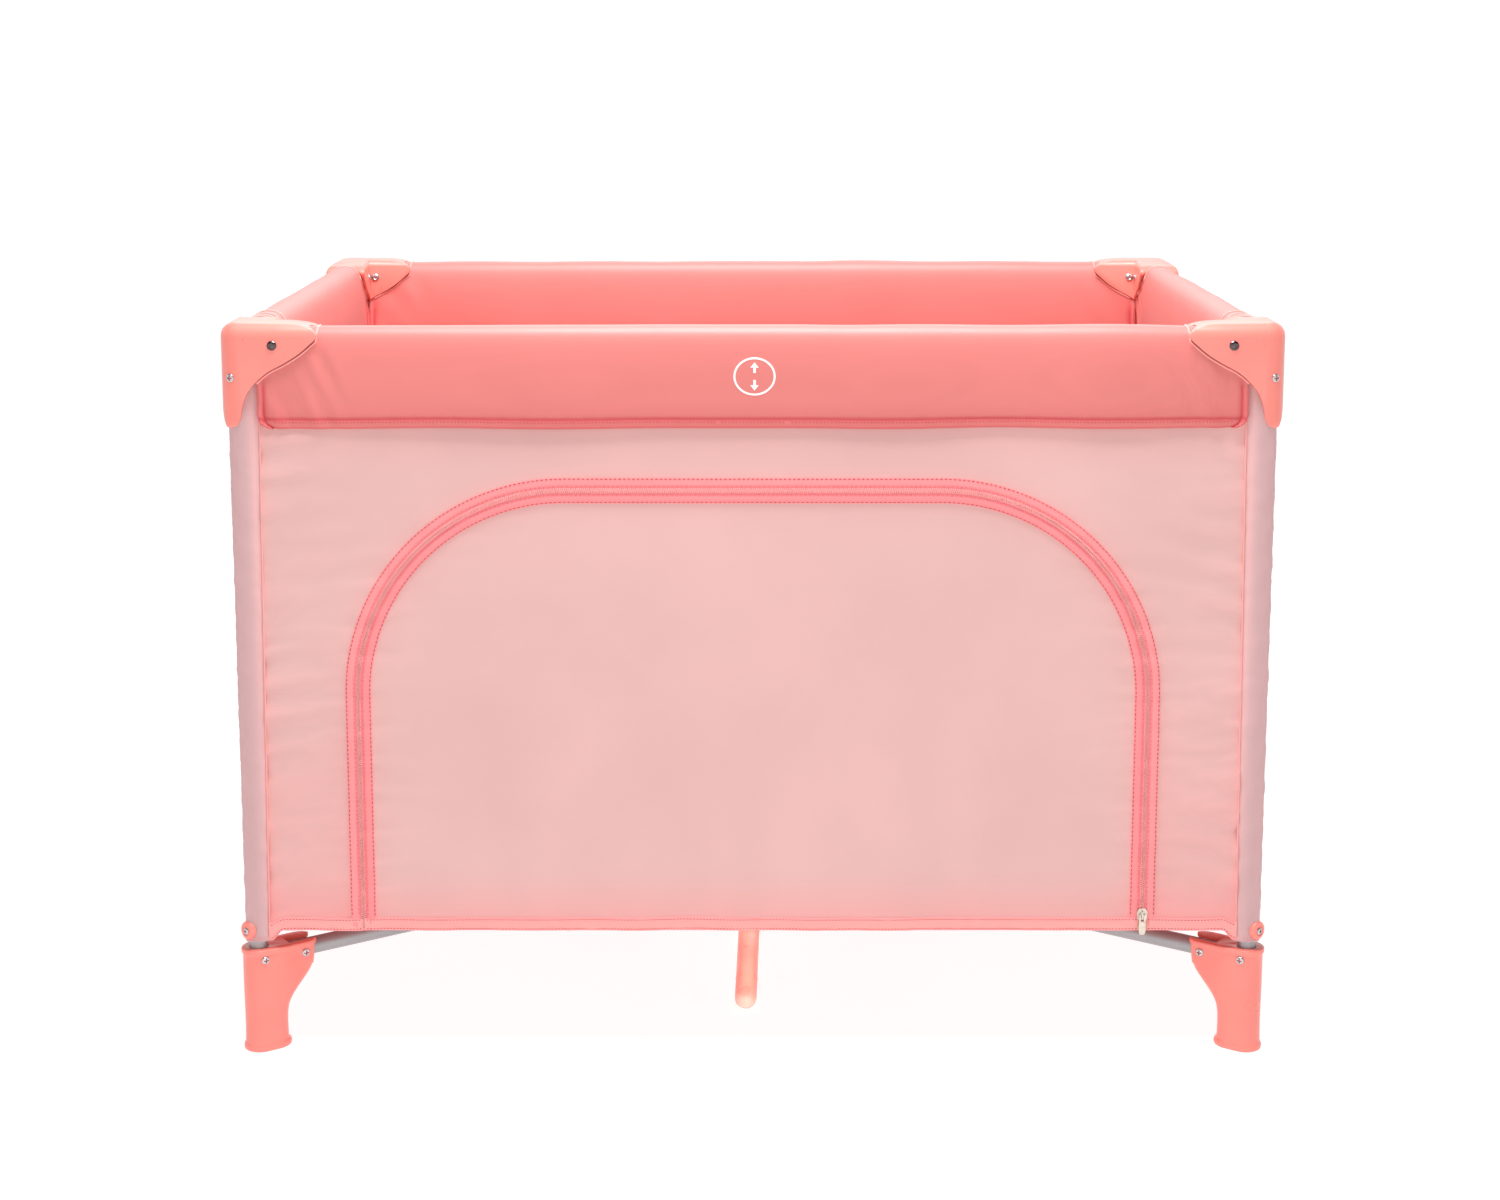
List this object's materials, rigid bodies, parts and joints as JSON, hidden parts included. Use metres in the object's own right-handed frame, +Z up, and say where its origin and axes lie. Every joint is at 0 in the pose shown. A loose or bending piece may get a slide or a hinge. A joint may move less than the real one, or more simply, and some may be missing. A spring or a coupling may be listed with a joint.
{
  "type": "folding playpen",
  "caption": "Folding rectangular playpen with padded folding top rails, fabric walls, an arched zip door and an umbrella base that folds upwards.",
  "frame": {"origin": "on the floor under the middle of the playpen", "axes": "+X along the long side, +Y from the zip door to the back, +Z up"},
  "size_m": [1.06, 0.74, 0.76],
  "materials": {
    "coral_plastic": "moulded coral plastic, semi-gloss",
    "grey_tube": "light grey powder coat",
    "rail_fabric": "smooth padded polyester, soft sheen",
    "wall_fabric": "fine woven polyester, pale pink",
    "mat_fabric": "quilted polyester",
    "webbing": "woven strap",
    "steel": "nickel plated",
    "hub_plastic": "moulded grey plastic"
  },
  "bodies": {
    "leg_back_left": {"leg_tube_back_left": "grey_tube", "top_bracket_back_left": "coral_plastic", "foot_back_left": "coral_plastic", "leg_cap_back_left": "coral_plastic", "panel_back": "wall_fabric", "panel_left": "wall_fabric"},
    "arm_back_left": {"base_arm_back_left": "grey_tube", "floor_mat_back_left": "mat_fabric"},
    "leg_back_right": {"leg_tube_back_right": "grey_tube", "top_bracket_back_right": "coral_plastic", "foot_back_right": "coral_plastic", "leg_cap_back_right": "coral_plastic", "panel_right": "wall_fabric"},
    "arm_back_right": {"base_arm_back_right": "grey_tube", "floor_mat_back_right": "mat_fabric"},
    "leg_front_left": {"leg_tube_front_left": "grey_tube", "top_bracket_front_left": "coral_plastic", "foot_front_left": "coral_plastic", "leg_cap_front_left": "coral_plastic", "panel_front": "wall_fabric"},
    "arm_front_left": {"base_arm_front_left": "grey_tube", "floor_mat_front_left": "mat_fabric"},
    "leg_front_right": {"leg_tube_front_right": "grey_tube", "top_bracket_front_right": "coral_plastic", "foot_front_right": "coral_plastic", "leg_cap_front_right": "coral_plastic"},
    "arm_front_right": {"base_arm_front_right": "grey_tube", "floor_mat_front_right": "mat_fabric"},
    "hub": {"hub_housing": "hub_plastic", "hub_cover": "coral_plastic", "pull_strap": "webbing"},
    "centre_leg_front": {"centre_leg_tube_front": "grey_tube", "centre_leg_boot_front": "coral_plastic"},
    "centre_leg_back": {"centre_leg_tube_back": "grey_tube", "centre_leg_boot_back": "coral_plastic"},
    "rail_back_back_left": {"rail_back_back_left": "grey_tube"},
    "rail_back_back_right": {"rail_back_back_right": "grey_tube"},
    "lock_back": {"rail_lock_back": "hub_plastic", "rail_cover_back": "rail_fabric"},
    "button_back": {"lock_button_back": "coral_plastic"},
    "rail_front_front_left": {"rail_front_front_left": "grey_tube"},
    "rail_front_front_right": {"rail_front_front_right": "grey_tube"},
    "lock_front": {"rail_lock_front": "hub_plastic", "rail_cover_front": "rail_fabric"},
    "button_front": {"lock_button_front": "coral_plastic"},
    "rail_left_back_left": {"rail_left_back_left": "grey_tube"},
    "rail_left_front_left": {"rail_left_front_left": "grey_tube"},
    "lock_left": {"rail_lock_left": "hub_plastic", "rail_cover_left": "rail_fabric"},
    "button_left": {"lock_button_left": "coral_plastic"},
    "rail_right_back_right": {"rail_right_back_right": "grey_tube"},
    "rail_right_front_right": {"rail_right_front_right": "grey_tube"},
    "lock_right": {"rail_lock_right": "hub_plastic", "rail_cover_right": "rail_fabric"},
    "button_right": {"lock_button_right": "coral_plastic"},
    "zip_end": {"zip_stop": "steel"},
    "zip_slider": {"zip_slider": "steel"},
    "zip_pull": {"zip_pull": "steel"},
    "zip_door": {"zip_door": "wall_fabric"}
  },
  "joints": [
    {"name": "frame_fold", "type": "hinge", "parent": "leg_back_left", "child": "arm_back_left", "pos_m": [-0.47492, 0.32651, 0.098], "axis": [-0.5665, -0.824, 0], "range_deg": [0, 85], "deforming": ["panel_front", "panel_back", "panel_left", "panel_right", "zip_door", "rail_cover_back", "rail_cover_front", "rail_cover_left", "rail_cover_right", "floor_mat_back_left", "floor_mat_back_right", "floor_mat_front_left", "floor_mat_front_right", "pull_strap"]},
    {"name": "hub_turn", "type": "hinge", "parent": "arm_back_left", "child": "hub", "pos_m": [-0.04532, 0.03116, 0.098], "axis": [-0.5665, -0.824, 0], "range_deg": [-85.5, 0]},
    {"name": "arm_front_left_turn", "type": "hinge", "parent": "hub", "child": "arm_front_left", "pos_m": [-0.04532, -0.03116, 0.098], "axis": [0.5665, -0.824, 0], "range_deg": [0, 85.5]},
    {"name": "leg_front_left_turn", "type": "hinge", "parent": "arm_front_left", "child": "leg_front_left", "pos_m": [-0.47492, -0.32651, 0.098], "axis": [0.5665, -0.824, 0], "range_deg": [-85.5, 0]},
    {"name": "arm_front_right_turn", "type": "hinge", "parent": "hub", "child": "arm_front_right", "pos_m": [0.04532, -0.03116, 0.098], "axis": [0.5665, 0.824, 0], "range_deg": [0, 85.5]},
    {"name": "leg_front_right_turn", "type": "hinge", "parent": "arm_front_right", "child": "leg_front_right", "pos_m": [0.47492, -0.32651, 0.098], "axis": [0.5665, 0.824, 0], "range_deg": [-85.5, 0]},
    {"name": "arm_back_right_turn", "type": "hinge", "parent": "hub", "child": "arm_back_right", "pos_m": [0.04532, 0.03116, 0.098], "axis": [-0.5665, 0.824, 0], "range_deg": [0, 85.5]},
    {"name": "leg_back_right_turn", "type": "hinge", "parent": "arm_back_right", "child": "leg_back_right", "pos_m": [0.47492, 0.32651, 0.098], "axis": [-0.5665, 0.824, 0], "range_deg": [-85.5, 0]},
    {"name": "rail_back_back_left_turn", "type": "hinge", "parent": "leg_back_left", "child": "rail_back_back_left", "pos_m": [-0.476, 0.346, 0.7385], "axis": [0, 1, 0], "range_deg": [0, 85.5]},
    {"name": "lock_back_turn", "type": "hinge", "parent": "rail_back_back_left", "child": "lock_back", "pos_m": [-0.0464, 0.346, 0.7385], "axis": [0, 1, 0], "range_deg": [-85.5, 0]},
    {"name": "rail_back_back_right_turn", "type": "hinge", "parent": "lock_back", "child": "rail_back_back_right", "pos_m": [0.0464, 0.346, 0.7385], "axis": [0, 1, 0], "range_deg": [-85.5, 0]},
    {"name": "button_back_press", "type": "slide", "parent": "lock_back", "child": "button_back", "axis": [0, 0, 1], "range_m": [0, 0.004], "stiffness_N_per_m": 400, "springref_m": -0.0008},
    {"name": "rail_front_front_left_turn", "type": "hinge", "parent": "leg_front_left", "child": "rail_front_front_left", "pos_m": [-0.476, -0.346, 0.7385], "axis": [0, 1, 0], "range_deg": [0, 85.5]},
    {"name": "lock_front_turn", "type": "hinge", "parent": "rail_front_front_left", "child": "lock_front", "pos_m": [-0.0464, -0.346, 0.7385], "axis": [0, 1, 0], "range_deg": [-85.5, 0]},
    {"name": "rail_front_front_right_turn", "type": "hinge", "parent": "lock_front", "child": "rail_front_front_right", "pos_m": [0.0464, -0.346, 0.7385], "axis": [0, 1, 0], "range_deg": [-85.5, 0]},
    {"name": "button_front_press", "type": "slide", "parent": "lock_front", "child": "button_front", "axis": [0, 0, 1], "range_m": [0, 0.004], "stiffness_N_per_m": 400, "springref_m": -0.0008},
    {"name": "rail_left_back_left_turn", "type": "hinge", "parent": "leg_back_left", "child": "rail_left_back_left", "pos_m": [-0.506, 0.316, 0.7385], "axis": [1, 0, 0], "range_deg": [0, 85.5]},
    {"name": "lock_left_turn", "type": "hinge", "parent": "rail_left_back_left", "child": "lock_left", "pos_m": [-0.506, 0.02065, 0.7385], "axis": [1, 0, 0], "range_deg": [-85.5, 0]},
    {"name": "rail_left_front_left_turn", "type": "hinge", "parent": "lock_left", "child": "rail_left_front_left", "pos_m": [-0.506, -0.02065, 0.7385], "axis": [1, 0, 0], "range_deg": [-85.5, 0]},
    {"name": "button_left_press", "type": "slide", "parent": "lock_left", "child": "button_left", "axis": [0, 0, 1], "range_m": [0, 0.004], "stiffness_N_per_m": 400, "springref_m": -0.0008},
    {"name": "rail_right_back_right_turn", "type": "hinge", "parent": "leg_back_right", "child": "rail_right_back_right", "pos_m": [0.506, 0.316, 0.7385], "axis": [1, 0, 0], "range_deg": [0, 85.5]},
    {"name": "lock_right_turn", "type": "hinge", "parent": "rail_right_back_right", "child": "lock_right", "pos_m": [0.506, 0.02065, 0.7385], "axis": [1, 0, 0], "range_deg": [-85.5, 0]},
    {"name": "rail_right_front_right_turn", "type": "hinge", "parent": "lock_right", "child": "rail_right_front_right", "pos_m": [0.506, -0.02065, 0.7385], "axis": [1, 0, 0], "range_deg": [-85.5, 0]},
    {"name": "button_right_press", "type": "slide", "parent": "lock_right", "child": "button_right", "axis": [0, 0, 1], "range_m": [0, 0.004], "stiffness_N_per_m": 400, "springref_m": -0.0008},
    {"name": "centre_leg_front_turn", "type": "hinge", "parent": "hub", "child": "centre_leg_front", "pos_m": [0, -0.035, 0.095], "axis": [1, 0, 0], "range_deg": [0, 69.58]},
    {"name": "centre_leg_back_turn", "type": "hinge", "parent": "hub", "child": "centre_leg_back", "pos_m": [0, 0.035, 0.095], "axis": [-1, 0, 0], "range_deg": [0, 69.58]},
    {"name": "zip_end_gather", "type": "slide", "parent": "leg_front_left", "child": "zip_end", "axis": [-1, 0, 0], "range_m": [0, 0.7023]},
    {"name": "zip_slide", "type": "slide", "parent": "zip_end", "child": "zip_slider", "axis": [0, 0, 1], "range_m": [0, 0.22]},
    {"name": "zip_pull_turn", "type": "hinge", "parent": "zip_slider", "child": "zip_pull", "pos_m": [0.401, -0.3644, 0.147], "axis": [-1, 0, 0], "range_deg": [0, 150]},
    {"name": "zip_door_open", "type": "hinge", "parent": "leg_front_left", "child": "zip_door", "pos_m": [0, -0.357, 0.13], "axis": [1, 0, 0], "range_deg": [0, 100]}
  ],
  "couplings": [
    {"joint": "hub_turn", "follows": "frame_fold", "ratio": -1},
    {"joint": "arm_front_left_turn", "follows": "frame_fold", "ratio": 1},
    {"joint": "leg_front_left_turn", "follows": "frame_fold", "ratio": -1},
    {"joint": "arm_front_right_turn", "follows": "frame_fold", "ratio": 1},
    {"joint": "leg_front_right_turn", "follows": "frame_fold", "ratio": -1},
    {"joint": "arm_back_right_turn", "follows": "frame_fold", "ratio": 1},
    {"joint": "leg_back_right_turn", "follows": "frame_fold", "ratio": -1},
    {"joint": "rail_back_back_left_turn", "follows": "frame_fold", "ratio": 1},
    {"joint": "lock_back_turn", "follows": "frame_fold", "ratio": -1},
    {"joint": "rail_back_back_right_turn", "follows": "frame_fold", "ratio": -1},
    {"joint": "rail_front_front_left_turn", "follows": "frame_fold", "ratio": 1},
    {"joint": "lock_front_turn", "follows": "frame_fold", "ratio": -1},
    {"joint": "rail_front_front_right_turn", "follows": "frame_fold", "ratio": -1},
    {"joint": "rail_left_back_left_turn", "follows": "frame_fold", "ratio": 1},
    {"joint": "lock_left_turn", "follows": "frame_fold", "ratio": -1},
    {"joint": "rail_left_front_left_turn", "follows": "frame_fold", "ratio": -1},
    {"joint": "rail_right_back_right_turn", "follows": "frame_fold", "ratio": 1},
    {"joint": "lock_right_turn", "follows": "frame_fold", "ratio": -1},
    {"joint": "rail_right_front_right_turn", "follows": "frame_fold", "ratio": -1},
    {"joint": "centre_leg_front_turn", "follows": "frame_fold", "ratio": 0.81267},
    {"joint": "centre_leg_back_turn", "follows": "frame_fold", "ratio": 0.81267},
    {"joint": "zip_end_gather", "follows": "frame_fold", "m_per_rad": 0.47137}
  ]
}
